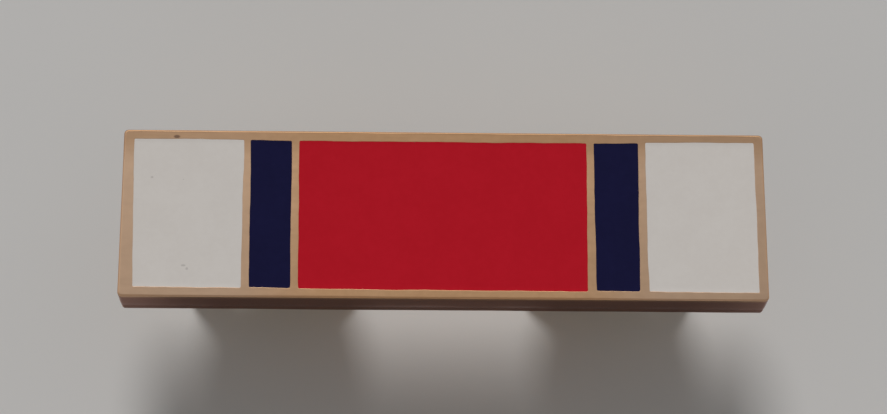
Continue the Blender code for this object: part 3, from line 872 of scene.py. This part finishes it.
def strip_solid(path, widths, holes):
    """The folded strip with rounded edges, cut square where it starts at the saddle's middle."""
    end = path.length - RIM

    def half_at(s):
        for (s0, w0), (s1, w1) in zip(widths, widths[1:]):
            if s0 <= s <= s1:
                return w0 + (w1 - w0) * (s - s0) / max(s1 - s0, 1e-9)
        return widths[-1][1]

    lengths = {round(s, 5) for s in path.stations(5.0, 0.6) if s < end - 0.01}
    lengths |= {round(s, 5) for s, _ in widths if s < end - 0.004}
    lengths = sorted(lengths)
    clean = [lengths[0]]
    for s in lengths[1:]:
        if s - clean[-1] > 0.012:
            clean.append(s)
    clean.append(end)
    upper = [(s, max(half_at(min(s * path.length / end, path.length) if s > end - 1.2 else s) - RIM, 0.2))
             for s in clean]
    # the tip's own straight end
    outline = [(s, -w) for s, w in upper] + [(s, w) for s, w in reversed(upper)]
    n = len(upper)
    points = [Vector(p) for p in outline]
    edges = [(i, (i + 1) % len(outline)) for i in range(len(outline))]
    for hole in holes:
        base = len(points)
        points += [Vector(p) for p in hole]
        edges += [(base + i, base + (i + 1) % len(hole)) for i in range(len(hole))]
    edges += [(i, 2 * n - 1 - i) for i in range(1, n - 1)]
    flat, _, triangles, *_ = delaunay_2d_cdt(points, edges, [], 1, 1e-6, False)
    keep = []
    for tri in triangles:
        c = [sum(flat[v][k] for v in tri) / 3 for k in (0, 1)]
        if inside(c, outline) and not any(inside(c, hole) for hole in holes):
            keep.append(list(tri))
    if sum((flat[keep[0][i - 1]][0] * flat[keep[0][i]][1] - flat[keep[0][i]][0] * flat[keep[0][i - 1]][1]) for i in range(3)) < 0:
        keep = [t[::-1] for t in keep]
    uses = {}
    for tri in keep:
        for a, b in zip(tri, tri[1:] + tri[:1]):
            uses.setdefault((min(a, b), max(a, b)), []).append((a, b))
    border = [u[0] for u in uses.values() if len(u) == 1]
    cut = {i for i, p in enumerate(flat) if p[0] < 1e-4}
    push = {}
    for a, b in border:
        if a in cut and b in cut:
            for v in (a, b):
                push.setdefault(v, [])
            continue
        d = flat[b] - flat[a]
        way = Vector((d.y, -d.x)).normalized()
        for v in (a, b):
            push.setdefault(v, []).append(way)
    moved = {}
    for v, ways in push.items():
        if not ways:
            moved[v] = Vector((0.0, 0.0))
            continue
        total = sum(ways, Vector((0.0, 0.0)))
        if v in cut:
            total.x = 0.0
            moved[v] = total.normalized()
        else:
            length = total.length
            moved[v] = total / length / max(length / len(ways), 0.6)

    verts, strip, wear = [], [], []

    def add(p, h, w):
        s, t = p
        u, d, a = path.at(max(s, 0.0))
        verts.append((u + h * math.sin(a), t, d - h * math.cos(a)))
        strip.append((s, t, h))
        wear.append(w)
        return len(verts) - 1

    count = 4
    half = STRIP / 2
    used = sorted({v for tri in keep for v in tri})
    top = {v: add(flat[v], half, 0.0) for v in used}
    low = {v: add(flat[v], -half, 0.0) for v in used}
    faces = [[top[v] for v in tri] for tri in keep] + [[low[v] for v in reversed(tri)] for tri in keep]
    columns = {}
    for v, way in moved.items():
        column = [top[v]]
        for sign in (1, -1):
            order = range(1, count + 1) if sign > 0 else range(count, 0, -1)
            for k in order:
                a = math.radians(90.0 * k / count)
                column.append(
                    add(flat[v] + way * RIM * math.sin(a), sign * (half - RIM + RIM * math.cos(a)),
                        0.0 if way.length < 0.1 else 0.9)
                )
        column.append(low[v])
        columns[v] = column
    for a, b in border:
        for i in range(2 * count + 1):
            ca, cb = columns[a], columns[b]
            faces.append([ca[i + 1], cb[i + 1], cb[i], ca[i]])
    broad = [1] * (2 * len(keep)) + [0] * (len(faces) - 2 * len(keep))
    return verts, faces, strip, wear, broad


def tongue_wing():
    path = Path(
        (0.0, SADDLE_DEPTH), 0.0,
        [("line", BEND_AT), ("turn", BEND_R, 189.0), ("line", 4.50), ("turn", 0.45, -71.0),
         ("line", 1.28), ("turn", 1.6, 14.0), ("line", 2.56), ("turn", 1.4, 15.0), ("line", 0.25)],
    )
    after = BEND_AT + 1.2
    jaw = path.at_u(0.0, after)
    widths = [(0.0, STRIP_HALF), (path.at_u(1.9, after), STRIP_HALF),
              (path.at_u(1.1, after), JAW_HALF), (jaw + 0.70, JAW_HALF), (jaw + 1.15, NECK_HALF)]
    widths += ear_taper(jaw + 3.55, path.length)
    a, b = path.at_u(0.60, after), path.at_u(-0.85, after)
    return path, widths, [circle(SADDLE_HOLE_R + RIM, 56), slot_hole(min(a, b), max(a, b), 0.60)]


def slotted_wing():
    path = Path(
        (0.0, SADDLE_DEPTH), 0.0,
        [("line", BEND_AT), ("turn", BEND_R, 167.0), ("line", 4.95), ("turn", 0.9, -20.5),
         ("line", 3.21), ("turn", 1.4, 12.0), ("line", 0.25)],
    )
    after = BEND_AT + 1.2
    jaw = path.at_u(0.0, after)
    widths = [(0.0, STRIP_HALF), (path.at_u(0.95, after), STRIP_HALF),
              (path.at_u(0.45, after), JAW_HALF + 0.1), (jaw + 1.00, JAW_HALF), (jaw + 1.55, NECK_HALF)]
    widths += ear_taper(jaw + 2.15, path.length)
    near, far = path.at_u(2.93, after), path.at_u(0.98, after)
    a, b = path.at_u(0.62, after), path.at_u(-1.02, after)
    return path, widths, [circle(SADDLE_HOLE_R + RIM, 56), window_hole(near, far, WINDOW_HALF),
                          slot_hole(min(a, b), max(a, b), 0.60)]


def make_spring(kind, side, x, mirror):
    path, widths, holes = tongue_wing() if kind == "tongue" else slotted_wing()
    verts, faces, strip, wear, broad = strip_solid(path, widths, holes)
    verts = [(x + mirror * u, POST_Y + t, -CLOTH_GAP - d) for u, t, d in verts]
    piece = build(f"spring_{kind}_{side}", verts, faces, SPRING,
                  edge=wear, strip=strip, sharp=50.0, broad=broad)
    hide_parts(f"clutch_wing_{kind}_{side}", f"clutch_saddle_{side}")
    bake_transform(piece)
    return piece


# ------------------------------------------------------------------ assembly
bar = make_bar()
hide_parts("bar_body")
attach(bar, "bar")
for name, material, slot in (
    ("white_left", WHITE, "enamel_white"),
    ("navy_left", NAVY, "enamel_navy"),
    ("red_centre", RED, "enamel_red"),
    ("navy_right", NAVY, "enamel_navy"),
    ("white_right", WHITE, "enamel_white"),
):
    cell = make_enamel(name, material)
    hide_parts("enamel_" + name)
    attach(cell, "bar")

for side, sign in (("left", -1), ("right", 1)):
    x = sign * POST_X
    post = make_post(side, x)
    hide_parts("post_" + side)
    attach(post, "bar")
    ring = make_solder(side, x, 40 + sign)
    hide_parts("solder_" + side)
    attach(ring, "bar")
    disc = make_disc(side, x)
    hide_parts("clutch_disc_" + side)
    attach(disc, "disc_" + side)
    make_spring("tongue", side, x, -sign)
    make_spring("slotted", side, x, sign)


# ------------------------------------------------------------------ floor, light, camera
def make_floor(z):
    size = 1.6
    mesh = bpy.data.meshes.new("floor")
    bm = bmesh.new()
    bmesh.ops.create_grid(bm, x_segments=8, y_segments=8, size=size)
    bm.to_mesh(mesh)
    bm.free()
    s = Shader("pale_floor")
    mm = s.millimetres()
    tone = s.grain(mm, 0.02, 2.0)
    colour = s.mix(s.ramp(tone, 0.35, 0.65), (0.69, 0.685, 0.68), (0.71, 0.705, 0.70))
    s.principled(Base_Color=colour, Roughness=0.85, Specular_IOR_Level=0.2)
    mesh.materials.append(s.material)
    floor = bpy.data.objects.new("floor", mesh)
    floor.location = (0, 0, z)
    bpy.context.scene.collection.objects.link(floor)


make_floor(CAD_BOX[0][2] - 0.00001)


SUN_AZIMUTH, SUN_ELEVATION, SUN_SPREAD, SUN_POWER = -5.0, 37.0, 18.0, 1.95
SKY_HIGH, SKY_LOW = 0.20, 0.485

key = bpy.data.lights.new("key", "SUN")
key.energy = SUN_POWER
key.angle = math.radians(SUN_SPREAD)
key.color = (1.0, 0.985, 0.965)
sun = bpy.data.objects.new("key", key)
a, e = math.radians(SUN_AZIMUTH), math.radians(SUN_ELEVATION)
way = Vector((math.sin(a) * math.cos(e), math.cos(a) * math.cos(e), math.sin(e)))
sun.rotation_euler = way.to_track_quat("Z", "Y").to_euler()
bpy.context.scene.collection.objects.link(sun)

# a plain studio: pale at the height of the floor's edge, dimmer overhead
world = bpy.data.worlds.new("studio")
world.use_nodes = True
sky = world.node_tree
where = sky.nodes.new("ShaderNodeTexCoord")
split = sky.nodes.new("ShaderNodeSeparateXYZ")
sky.links.new(where.outputs["Generated"], split.inputs[0])
height = sky.nodes.new("ShaderNodeMapRange")
height.interpolation_type = "SMOOTHSTEP"
sky.links.new(split.outputs["Z"], height.inputs[0])
height.inputs[1].default_value, height.inputs[2].default_value = 0.06, 0.62
height.inputs[3].default_value, height.inputs[4].default_value = SKY_LOW, SKY_HIGH
background = sky.nodes["Background"]
background.inputs["Color"].default_value = (1.0, 0.995, 0.985, 1.0)
sky.links.new(height.outputs[0], background.inputs["Strength"])
bpy.context.scene.world = world
bpy.context.scene.view_settings.view_transform = "Standard"
bpy.context.scene.view_settings.look = "None"

camera_data = bpy.data.cameras.new("camera")
camera_data.sensor_fit = "HORIZONTAL"
camera_data.sensor_width = 36.0
camera_data.lens = 105.137
camera_data.clip_start, camera_data.clip_end = 0.005, 5.0
camera = bpy.data.objects.new("camera", camera_data)
turn = (
    Matrix.Rotation(math.radians(-3.7532), 4, "Z")
    @ Matrix.Rotation(math.radians(19.5686), 4, "X")
    @ Matrix.Rotation(math.radians(4.0276), 4, "Z")
)
camera.matrix_world = Matrix.Translation(Vector((-3.1148, -46.4760, 134.6023)) * MM) @ turn
bpy.context.scene.collection.objects.link(camera)
bpy.context.scene.camera = camera
